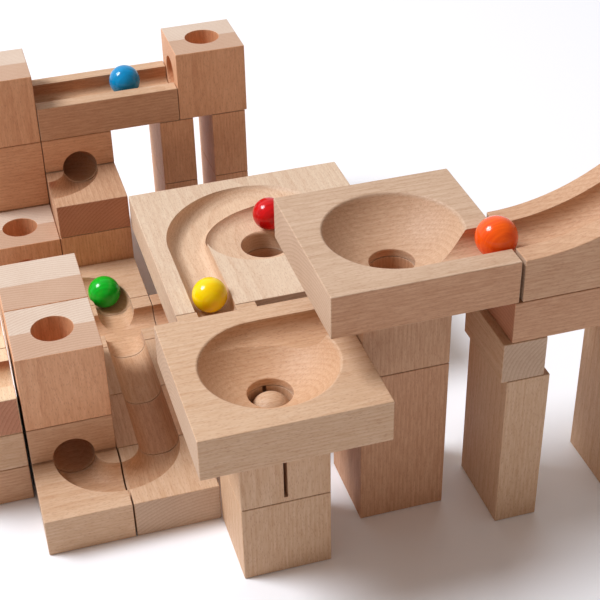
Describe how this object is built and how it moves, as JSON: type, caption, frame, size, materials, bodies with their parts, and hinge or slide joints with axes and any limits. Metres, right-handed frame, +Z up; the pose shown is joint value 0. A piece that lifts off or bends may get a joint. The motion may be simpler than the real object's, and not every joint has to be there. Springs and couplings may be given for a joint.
{
  "type": "wooden marble run",
  "caption": "Marble run of loose beech blocks on a square module: drop cubes, tunnels, lanes, a bridge, a spiral plate, funnel plates and a curved chute, with lacquered wooden balls.",
  "frame": {"origin": "middle of the footprint at floor level", "axes": "+Z up, +X along the chute away from the funnels, +Y from the funnels at the front to the bridge at the back"},
  "size_m": [0.3628, 0.3856, 0.2043],
  "materials": {
    "beech": "sanded, unfinished",
    "blue_lacquer": "gloss lacquer",
    "green_lacquer": "gloss lacquer",
    "yellow_lacquer": "gloss lacquer",
    "red_lacquer": "gloss lacquer",
    "orange_lacquer": "gloss lacquer"
  },
  "bodies": {
    "stack": {"feeder_base": "beech", "feeder_middle": "beech", "feeder_rear": "beech", "front_turn_left": "beech", "front_turn_right": "beech", "tunnel_floor": "beech", "tunnel_roof": "beech", "rear_cube_bottom": "beech", "lane_front": "beech", "lane_back": "beech", "lane_crossing": "beech", "lane_end": "beech", "rear_turn_right": "beech", "rear_turn_left": "beech", "tower_base": "beech", "tower_middle": "beech", "junction_base": "beech", "junction_floor": "beech", "junction_roof": "beech", "balcony_base": "beech", "rear_drop_cube": "beech", "bridge_post_left_lower": "beech", "bridge_post_left_upper": "beech", "bridge_post_right_lower": "beech", "bridge_post_right_upper": "beech", "spiral_plate": "beech", "spiral_leg_front": "beech", "spiral_leg_back": "beech", "outlet_ring": "beech", "outlet_catch": "beech", "outlet_channel": "beech", "start_leg": "beech", "start_channel": "beech", "upper_elbow": "beech", "upper_column": "beech", "lower_funnel": "beech", "slotted_cube_floor": "beech", "slotted_cube_left": "beech", "slotted_cube_right": "beech", "lower_column": "beech", "chute": "beech", "chute_beam": "beech", "chute_spacer_left": "beech", "chute_post_left": "beech", "chute_spacer_right": "beech", "chute_post_right": "beech"},
    "feeder_channel": {"feeder_channel": "beech"},
    "drop_cube": {"drop_cube": "beech"},
    "rear_cube_top": {"rear_cube_top": "beech"},
    "balcony_turn": {"balcony_turn": "beech"},
    "tower_top": {"tower_top": "beech"},
    "bridge_trough": {"bridge_trough": "beech"},
    "entry_cube": {"entry_cube": "beech"},
    "upper_funnel": {"upper_funnel": "beech"},
    "ball_blue": {"ball_blue": "blue_lacquer"},
    "ball_green": {"ball_green": "green_lacquer"},
    "ball_yellow": {"ball_yellow": "yellow_lacquer"},
    "ball_red": {"ball_red": "red_lacquer"},
    "ball_orange": {"ball_orange": "orange_lacquer"},
    "ball_plain": {"ball_plain": "beech"}
  },
  "joints": [
    {"name": "feeder_channel_lift", "type": "slide", "parent": "stack", "child": "feeder_channel", "axis": [0, 0, 1], "range_m": [0, 0.06]},
    {"name": "drop_cube_lift", "type": "slide", "parent": "stack", "child": "drop_cube", "axis": [0, 0, 1], "range_m": [0, 0.06]},
    {"name": "rear_cube_lift", "type": "slide", "parent": "stack", "child": "rear_cube_top", "axis": [0, 0, 1], "range_m": [0, 0.06]},
    {"name": "balcony_lift", "type": "slide", "parent": "stack", "child": "balcony_turn", "axis": [0, 0, 1], "range_m": [0, 0.06]},
    {"name": "tower_top_lift", "type": "slide", "parent": "stack", "child": "tower_top", "axis": [0, 0, 1], "range_m": [0, 0.06]},
    {"name": "bridge_trough_lift", "type": "slide", "parent": "stack", "child": "bridge_trough", "axis": [0, 0, 1], "range_m": [0, 0.06]},
    {"name": "entry_cube_lift", "type": "slide", "parent": "stack", "child": "entry_cube", "axis": [0, 0, 1], "range_m": [0, 0.06]},
    {"name": "upper_funnel_lift", "type": "slide", "parent": "stack", "child": "upper_funnel", "axis": [0, 0, 1], "range_m": [0, 0.06]},
    {"name": "blue_roll", "type": "slide", "parent": "bridge_trough", "child": "ball_blue", "axis": [1, 0, 0], "range_m": [-0.05, 0.0195]},
    {"name": "orange_roll", "type": "slide", "parent": "upper_funnel", "child": "ball_orange", "axis": [1, 0, 0], "range_m": [-0.04, 0.003]},
    {"name": "yellow_roll", "type": "slide", "parent": "stack", "child": "ball_yellow", "axis": [0, 1, 0], "range_m": [-0.0225, 0.05]},
    {"name": "green_roll", "type": "hinge", "parent": "stack", "child": "ball_green", "pos_m": [-0.0908, 0.05675, 0.0228], "axis": [0, 0, 1], "range_deg": [-30, 58]},
    {"name": "red_roll", "type": "hinge", "parent": "stack", "child": "ball_red", "pos_m": [0.0205, 0.03675, 0.0681], "axis": [0, 0, 1], "continuous": true},
    {"name": "plain_lift", "type": "slide", "parent": "stack", "child": "ball_plain", "axis": [0, 0, 1], "range_m": [0, 0.045]}
  ]
}
